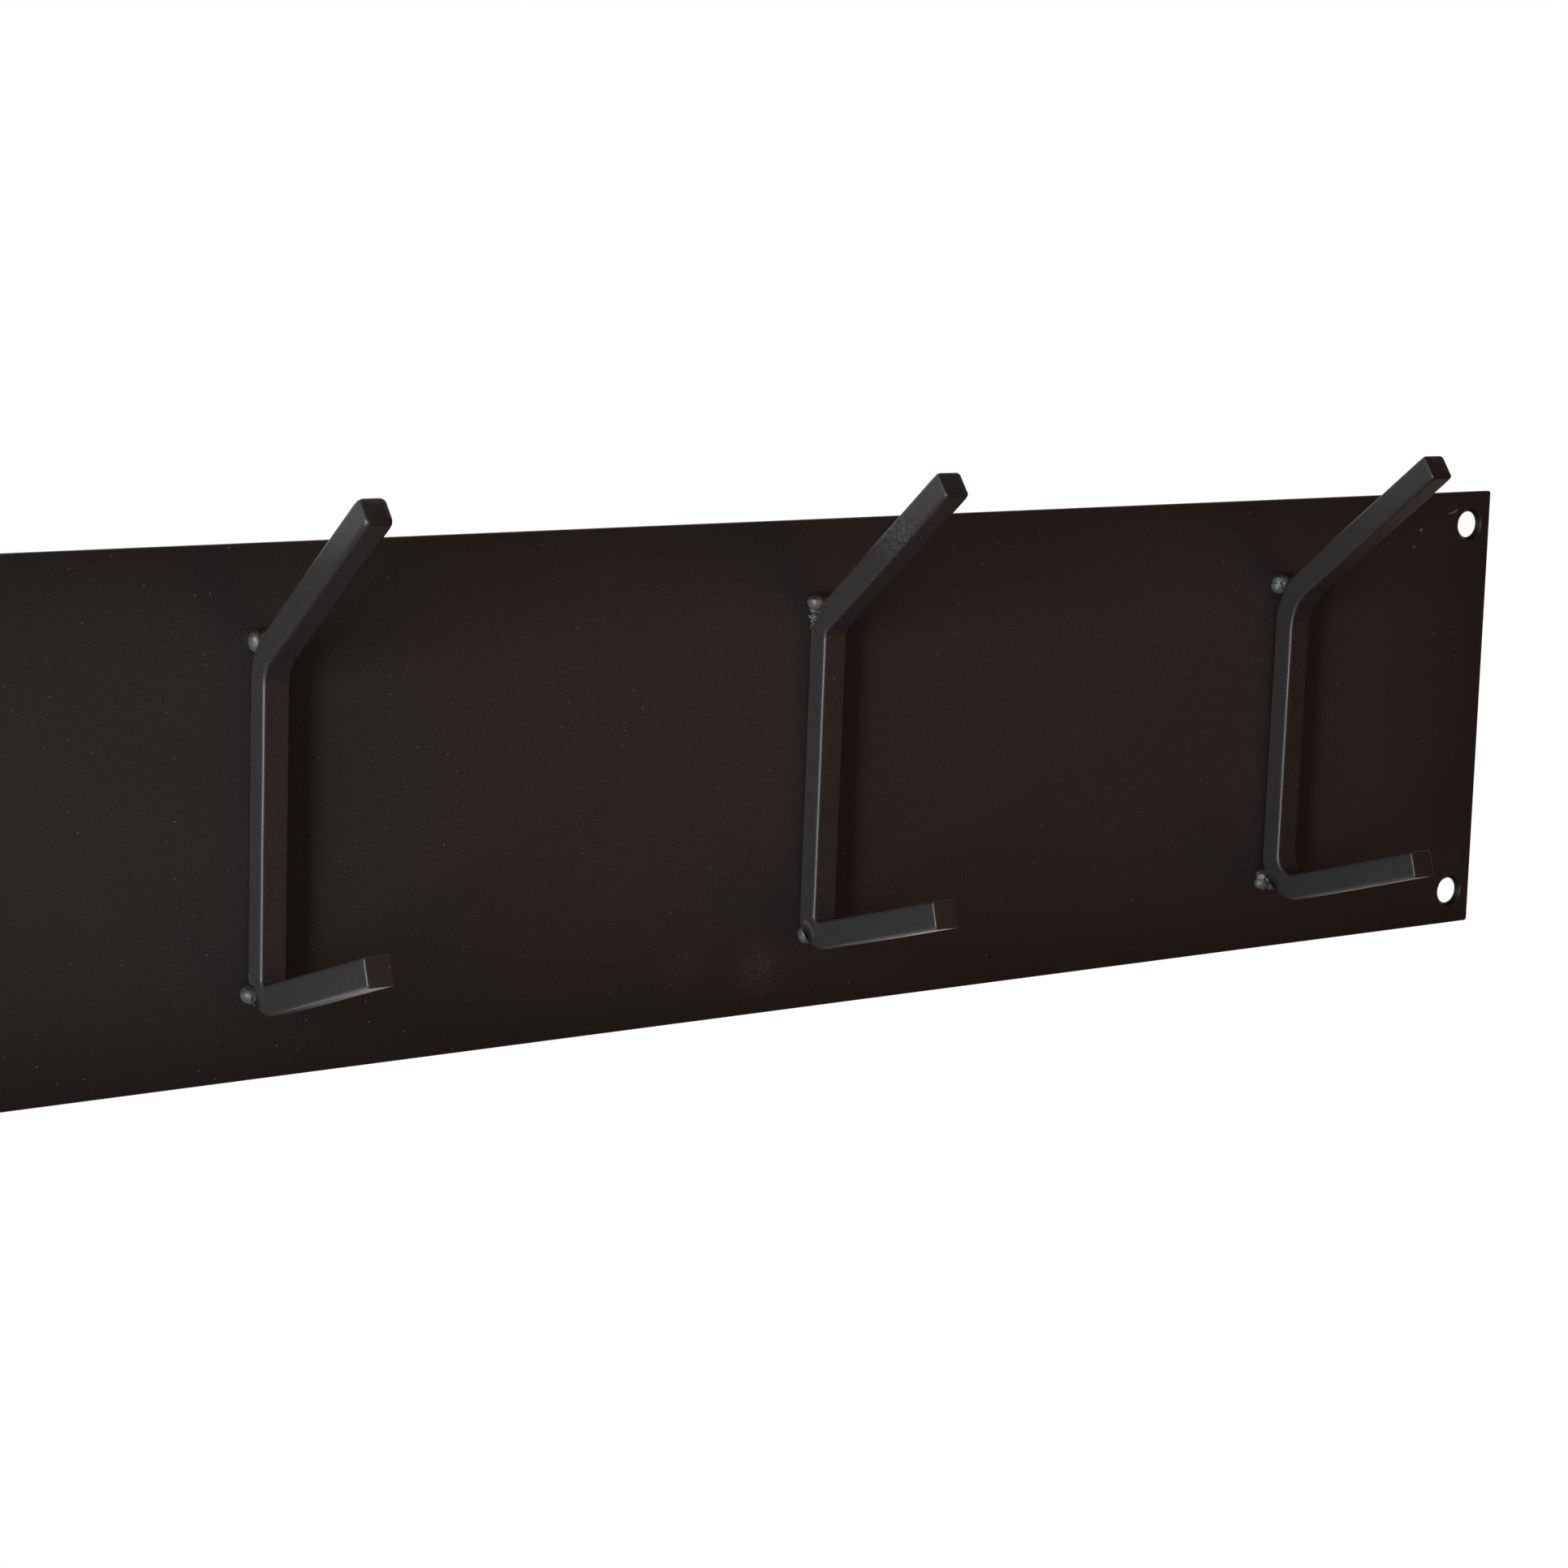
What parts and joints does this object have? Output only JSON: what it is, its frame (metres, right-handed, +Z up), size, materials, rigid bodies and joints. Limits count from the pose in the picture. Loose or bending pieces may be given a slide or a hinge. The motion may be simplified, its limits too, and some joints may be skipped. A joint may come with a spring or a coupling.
{
  "type": "wall coat rack",
  "caption": "Flat steel wall plate with a row of two-pronged hooks bent from square bar and welded on, for coats and bags.",
  "frame": {"origin": "middle of the plate's flat wall face", "axes": "+Z up, +Y into the wall, +X to the right of someone who faces the rack; the hooks reach out along -Y"},
  "size_m": [1, 0.0791, 0.1816],
  "materials": {
    "plate_coating": "satin black powder coat on sheet steel",
    "hook_coating": "satin black powder coat on square bar",
    "weld_coating": "glossier black coat over lumpy weld metal"
  },
  "bodies": {
    "root": {"back_plate": "plate_coating", "hook_1": "hook_coating", "hook_1_lower_weld": "weld_coating", "hook_1_upper_weld": "weld_coating", "hook_2": "hook_coating", "hook_2_lower_weld": "weld_coating", "hook_2_upper_weld": "weld_coating", "hook_3": "hook_coating", "hook_3_lower_weld": "weld_coating", "hook_3_upper_weld": "weld_coating", "hook_4": "hook_coating", "hook_4_lower_weld": "weld_coating", "hook_4_upper_weld": "weld_coating", "hook_5": "hook_coating", "hook_5_lower_weld": "weld_coating", "hook_5_upper_weld": "weld_coating"}
  },
  "joints": []
}
